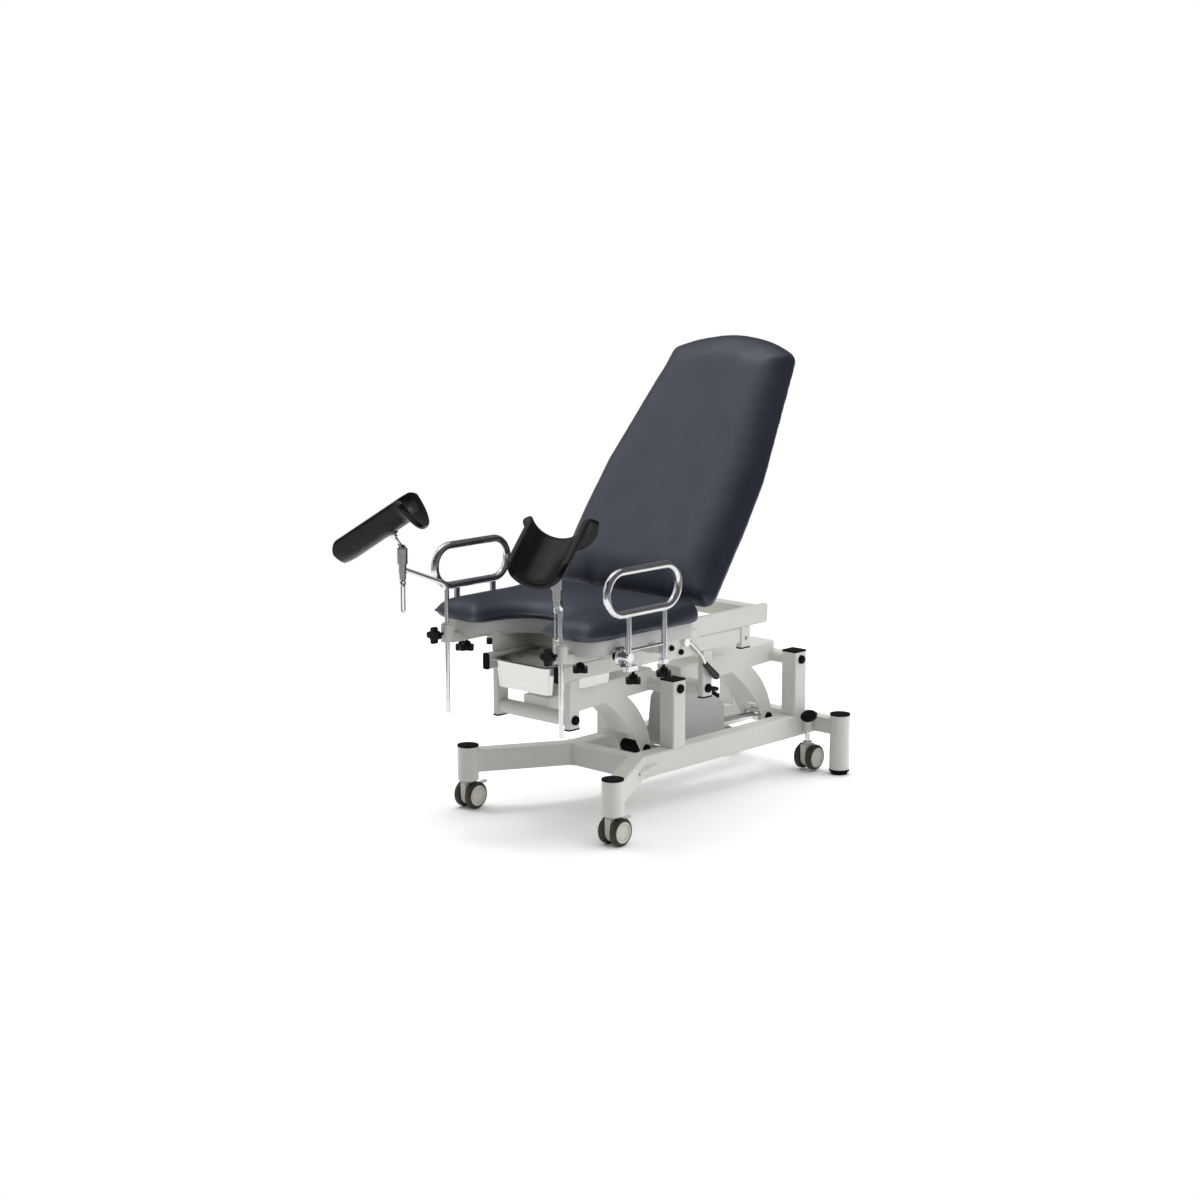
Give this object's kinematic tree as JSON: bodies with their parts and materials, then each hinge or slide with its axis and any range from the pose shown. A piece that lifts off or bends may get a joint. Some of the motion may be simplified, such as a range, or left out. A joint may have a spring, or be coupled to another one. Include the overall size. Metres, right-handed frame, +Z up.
{
  "type": "gynecological chair",
  "caption": "Examination chair with a lifting parallelogram frame, tilting padded back, cut-out seat, pull-out tray, adjustable leg crutches, folding armrests and casters.",
  "frame": {"origin": "on the floor, on the chair's centre line, midway between the front caster posts and the rear foot posts", "axes": "+Z up, +Y towards the head end, +X towards the patient's left"},
  "size_m": [0.8618, 1.378, 1.2167],
  "materials": {
    "frame_paint": "satin powder coat, warm white",
    "black_cap": "black moulded caps and covers",
    "upholstery": "dark blue-grey upholstery, fine grain",
    "chrome": "polished chrome",
    "stainless": "brushed stainless steel",
    "knob": "black moulded knobs",
    "crutch_foam": "black integral-skin foam",
    "wheel": "black tread with beige hubs",
    "caster_plastic": "beige moulded caster bodies",
    "actuator_plastic": "grey moulded housing",
    "pan_paint": "pale grey sheet",
    "gas_tube": "black painted gas spring tube"
  },
  "bodies": {
    "base": {"base_frame": "frame_paint", "base_caps": "black_cap", "base_pivot_bolts": "black_cap", "rear_feet": "black_cap"},
    "front_caster_left": {"front_caster_left": "caster_plastic"},
    "front_wheels_left": {"front_wheels_left": "wheel"},
    "caster_brake_left": {"caster_brake_left": "caster_plastic"},
    "rear_push_left": {"rear_caster_stem_left": "chrome", "rear_caster_pedal_left": "black_cap"},
    "rear_caster_left": {"rear_caster_left": "caster_plastic"},
    "rear_wheels_left": {"rear_wheels_left": "wheel"},
    "front_caster_right": {"front_caster_right": "caster_plastic"},
    "front_wheels_right": {"front_wheels_right": "wheel"},
    "caster_brake_right": {"caster_brake_right": "caster_plastic"},
    "rear_push_right": {"rear_caster_stem_right": "chrome", "rear_caster_pedal_right": "black_cap"},
    "rear_caster_right": {"rear_caster_right": "caster_plastic"},
    "rear_wheels_right": {"rear_wheels_right": "wheel"},
    "front_arm": {"front_arm": "frame_paint", "front_stop_pin": "black_cap"},
    "rear_arm": {"rear_arm": "frame_paint", "rear_lever_pin": "black_cap"},
    "upper": {"lift_frame": "frame_paint", "lift_frame_caps": "black_cap", "frame_pivot_bolts": "black_cap", "seat_frame": "frame_paint", "seat_pan": "pan_paint", "seat_cushion": "upholstery", "leg_clamps": "frame_paint", "armrest_mounts": "frame_paint"},
    "actuator": {"actuator_housing": "actuator_plastic"},
    "actuator_rod": {"actuator_rod": "chrome"},
    "tray": {"tray": "stainless"},
    "leg_bush_left": {"leg_bush_left": "knob"},
    "leg_rod_left": {"leg_rod_left": "chrome"},
    "leg_head_left": {"leg_head_left": "chrome"},
    "leg_crutch_left": {"leg_crutch_left": "crutch_foam"},
    "leg_handle_left": {"leg_handle_left": "chrome"},
    "leg_clamp_knob_left": {"leg_clamp_knob_left": "knob"},
    "clamp_arm_knob_left": {"clamp_arm_knob_left": "knob"},
    "leg_bush_right": {"leg_bush_right": "knob"},
    "leg_rod_right": {"leg_rod_right": "chrome"},
    "leg_head_right": {"leg_head_right": "chrome"},
    "leg_crutch_right": {"leg_crutch_right": "crutch_foam"},
    "leg_handle_right": {"leg_handle_right": "chrome"},
    "leg_clamp_knob_right": {"leg_clamp_knob_right": "knob"},
    "clamp_arm_knob_right": {"clamp_arm_knob_right": "knob"},
    "armrest_left": {"armrest_left": "chrome"},
    "armrest_pivot_knob_left": {"armrest_pivot_knob_left": "knob"},
    "armrest_front_knob_left": {"armrest_front_knob_left": "knob"},
    "armrest_rear_knob_left": {"armrest_rear_knob_left": "knob"},
    "armrest_right": {"armrest_right": "chrome"},
    "armrest_pivot_knob_right": {"armrest_pivot_knob_right": "knob"},
    "armrest_front_knob_right": {"armrest_front_knob_right": "knob"},
    "armrest_rear_knob_right": {"armrest_rear_knob_right": "knob"},
    "backrest": {"backrest_frame": "frame_paint", "backrest_cushion": "upholstery"},
    "gas_cylinder": {"gas_cylinder": "gas_tube"},
    "gas_rod": {"gas_rod": "chrome"},
    "release_lever": {"release_lever": "chrome"}
  },
  "joints": [
    {"name": "lift", "type": "hinge", "parent": "base", "child": "front_arm", "pos_m": [0, -0.087, 0.319], "axis": [-1, 0, 0], "range_deg": [0, 40]},
    {"name": "backrest_tilt", "type": "hinge", "parent": "upper", "child": "backrest", "pos_m": [0, -0.13404, 0.54], "axis": [1, 0, 0], "range_deg": [-55.4, 0]},
    {"name": "tray_pull", "type": "slide", "parent": "upper", "child": "tray", "axis": [0, 1, 0], "range_m": [-0.2, 0]},
    {"name": "leg_swivel_left", "type": "hinge", "parent": "upper", "child": "leg_bush_left", "pos_m": [0.202, -0.60364, 0.476], "axis": [0, 0, 1], "range_deg": [-30, 25]},
    {"name": "leg_swivel_right", "type": "hinge", "parent": "upper", "child": "leg_bush_right", "pos_m": [-0.202, -0.60364, 0.476], "axis": [0, 0, 1], "range_deg": [-25, 30]},
    {"name": "leg_height_left", "type": "slide", "parent": "leg_bush_left", "child": "leg_rod_left", "axis": [0, 0, 1], "range_m": [-0.06, 0.12]},
    {"name": "leg_height_right", "type": "slide", "parent": "leg_bush_right", "child": "leg_rod_right", "axis": [0, 0, 1], "range_m": [-0.06, 0.12]},
    {"name": "head_swivel_left", "type": "hinge", "parent": "leg_rod_left", "child": "leg_head_left", "pos_m": [0.272, -0.69064, 0.667], "axis": [0, 0, 1], "range_deg": [-30, 30]},
    {"name": "head_swivel_right", "type": "hinge", "parent": "leg_rod_right", "child": "leg_head_right", "pos_m": [-0.272, -0.69064, 0.667], "axis": [0, 0, 1], "range_deg": [-30, 30]},
    {"name": "crutch_tilt_left", "type": "hinge", "parent": "leg_head_left", "child": "leg_crutch_left", "pos_m": [0.272, -0.69064, 0.7198], "axis": [0.891, 0.454, 0], "range_deg": [-20, 20]},
    {"name": "crutch_tilt_right", "type": "hinge", "parent": "leg_head_right", "child": "leg_crutch_right", "pos_m": [-0.272, -0.69064, 0.7198], "axis": [0.5878, -0.809, 0], "range_deg": [-20, 20]},
    {"name": "armrest_fold_left", "type": "hinge", "parent": "upper", "child": "armrest_left", "pos_m": [0.304, -0.47104, 0.485], "axis": [1, 0, 0], "range_deg": [-90, 0]},
    {"name": "armrest_fold_right", "type": "hinge", "parent": "upper", "child": "armrest_right", "pos_m": [-0.304, -0.47104, 0.485], "axis": [1, 0, 0], "range_deg": [-90, 0]},
    {"name": "release_lever_pull", "type": "hinge", "parent": "upper", "child": "release_lever", "pos_m": [0.137, -0.07644, 0.4442], "axis": [1, 0, 0], "range_deg": [0, 25], "stiffness_Nm_per_rad": 1.5},
    {"name": "handle_swing_left", "type": "hinge", "parent": "leg_head_left", "child": "leg_handle_left", "pos_m": [0.272, -0.69064, 0.6285], "axis": [1, 0, 0], "range_deg": [-50, 50]},
    {"name": "handle_swing_right", "type": "hinge", "parent": "leg_head_right", "child": "leg_handle_right", "pos_m": [-0.272, -0.69064, 0.6285], "axis": [1, 0, 0], "range_deg": [-50, 50]},
    {"name": "pedal_push_left", "type": "slide", "parent": "base", "child": "rear_push_left", "axis": [0, 0, 1], "range_m": [-0.011, 0]},
    {"name": "pedal_push_right", "type": "slide", "parent": "base", "child": "rear_push_right", "axis": [0, 0, 1], "range_m": [-0.011, 0]},
    {"name": "brake_press_left", "type": "hinge", "parent": "front_caster_left", "child": "caster_brake_left", "pos_m": [0.26, -0.449, 0.058], "axis": [1, 0, 0], "range_deg": [-20, 0]},
    {"name": "brake_press_right", "type": "hinge", "parent": "front_caster_right", "child": "caster_brake_right", "pos_m": [-0.26, -0.449, 0.058], "axis": [1, 0, 0], "range_deg": [-20, 0]},
    {"name": "rear_arm_turn", "type": "hinge", "parent": "base", "child": "rear_arm", "pos_m": [0, 0.428, 0.319], "axis": [-1, 0, 0], "range_deg": [0, 40]},
    {"name": "frame_level", "type": "hinge", "parent": "front_arm", "child": "upper", "pos_m": [0, -0.48664, 0.302], "axis": [-1, 0, 0], "range_deg": [-40, 0]},
    {"name": "actuator_swing", "type": "hinge", "parent": "base", "child": "actuator", "pos_m": [0, -0.009, 0.165], "axis": [1, 0, 0], "range_deg": [0, 9.59]},
    {"name": "actuator_stroke", "type": "slide", "parent": "actuator", "child": "actuator_rod", "axis": [0, 0.9988, -0.0484], "range_m": [-0.10509, 0]},
    {"name": "gas_spring_turn", "type": "hinge", "parent": "upper", "child": "gas_cylinder", "pos_m": [0, -0.14904, 0.415], "axis": [1, 0, 0], "range_deg": [-39.54, 0]},
    {"name": "gas_spring_stroke", "type": "slide", "parent": "gas_cylinder", "child": "gas_rod", "axis": [0, 0.5588, 0.8293], "range_m": [-0.08673, 0]},
    {"name": "front_swivel_left", "type": "hinge", "parent": "base", "child": "front_caster_left", "pos_m": [0.26, -0.479, 0.078], "axis": [0, 0, 1], "continuous": true},
    {"name": "front_roll_left", "type": "hinge", "parent": "front_caster_left", "child": "front_wheels_left", "pos_m": [0.26, -0.471, 0.036], "axis": [1, 0, 0], "continuous": true},
    {"name": "rear_swivel_left", "type": "hinge", "parent": "rear_push_left", "child": "rear_caster_left", "pos_m": [0.152, 0.446, 0.079], "axis": [0, 0, 1], "continuous": true},
    {"name": "rear_roll_left", "type": "hinge", "parent": "rear_caster_left", "child": "rear_wheels_left", "pos_m": [0.152, 0.454, 0.039], "axis": [1, 0, 0], "continuous": true},
    {"name": "front_swivel_right", "type": "hinge", "parent": "base", "child": "front_caster_right", "pos_m": [-0.26, -0.479, 0.078], "axis": [0, 0, 1], "continuous": true},
    {"name": "front_roll_right", "type": "hinge", "parent": "front_caster_right", "child": "front_wheels_right", "pos_m": [-0.26, -0.471, 0.036], "axis": [1, 0, 0], "continuous": true},
    {"name": "rear_swivel_right", "type": "hinge", "parent": "rear_push_right", "child": "rear_caster_right", "pos_m": [-0.152, 0.446, 0.079], "axis": [0, 0, 1], "continuous": true},
    {"name": "rear_roll_right", "type": "hinge", "parent": "rear_caster_right", "child": "rear_wheels_right", "pos_m": [-0.152, 0.454, 0.039], "axis": [1, 0, 0], "continuous": true},
    {"name": "clamp_knob_turn_left", "type": "hinge", "parent": "upper", "child": "leg_clamp_knob_left", "pos_m": [0.202, -0.65589, 0.498], "axis": [0, 1, 0], "continuous": true},
    {"name": "arm_knob_turn_left", "type": "hinge", "parent": "upper", "child": "clamp_arm_knob_left", "pos_m": [0.202, -0.53534, 0.498], "axis": [0, 0, 1], "continuous": true},
    {"name": "clamp_knob_turn_right", "type": "hinge", "parent": "upper", "child": "leg_clamp_knob_right", "pos_m": [-0.202, -0.65589, 0.498], "axis": [0, 1, 0], "continuous": true},
    {"name": "arm_knob_turn_right", "type": "hinge", "parent": "upper", "child": "clamp_arm_knob_right", "pos_m": [-0.202, -0.53534, 0.498], "axis": [0, 0, 1], "continuous": true},
    {"name": "pivot_knob_turn_left", "type": "hinge", "parent": "upper", "child": "armrest_pivot_knob_left", "pos_m": [0.304, -0.47104, 0.485], "axis": [1, 0, 0], "continuous": true},
    {"name": "front_knob_turn_left", "type": "hinge", "parent": "armrest_left", "child": "armrest_front_knob_left", "pos_m": [0.304, -0.45304, 0.462], "axis": [0, 0, 1], "continuous": true},
    {"name": "rear_knob_turn_left", "type": "hinge", "parent": "armrest_left", "child": "armrest_rear_knob_left", "pos_m": [0.304, -0.33904, 0.462], "axis": [0, 0, 1], "continuous": true},
    {"name": "pivot_knob_turn_right", "type": "hinge", "parent": "upper", "child": "armrest_pivot_knob_right", "pos_m": [-0.304, -0.47104, 0.485], "axis": [1, 0, 0], "continuous": true},
    {"name": "front_knob_turn_right", "type": "hinge", "parent": "armrest_right", "child": "armrest_front_knob_right", "pos_m": [-0.304, -0.45304, 0.462], "axis": [0, 0, 1], "continuous": true},
    {"name": "rear_knob_turn_right", "type": "hinge", "parent": "armrest_right", "child": "armrest_rear_knob_right", "pos_m": [-0.304, -0.33904, 0.462], "axis": [0, 0, 1], "continuous": true}
  ],
  "couplings": [
    {"joint": "rear_arm_turn", "follows": "lift", "ratio": 1},
    {"joint": "frame_level", "follows": "lift", "ratio": -1},
    {"joint": "actuator_swing", "follows": "lift", "ratio": 0.23726},
    {"joint": "actuator_stroke", "follows": "lift", "m_per_rad": -0.14982},
    {"joint": "gas_spring_turn", "follows": "backrest_tilt", "ratio": 0.71193},
    {"joint": "gas_spring_stroke", "follows": "backrest_tilt", "m_per_rad": 0.089176}
  ]
}
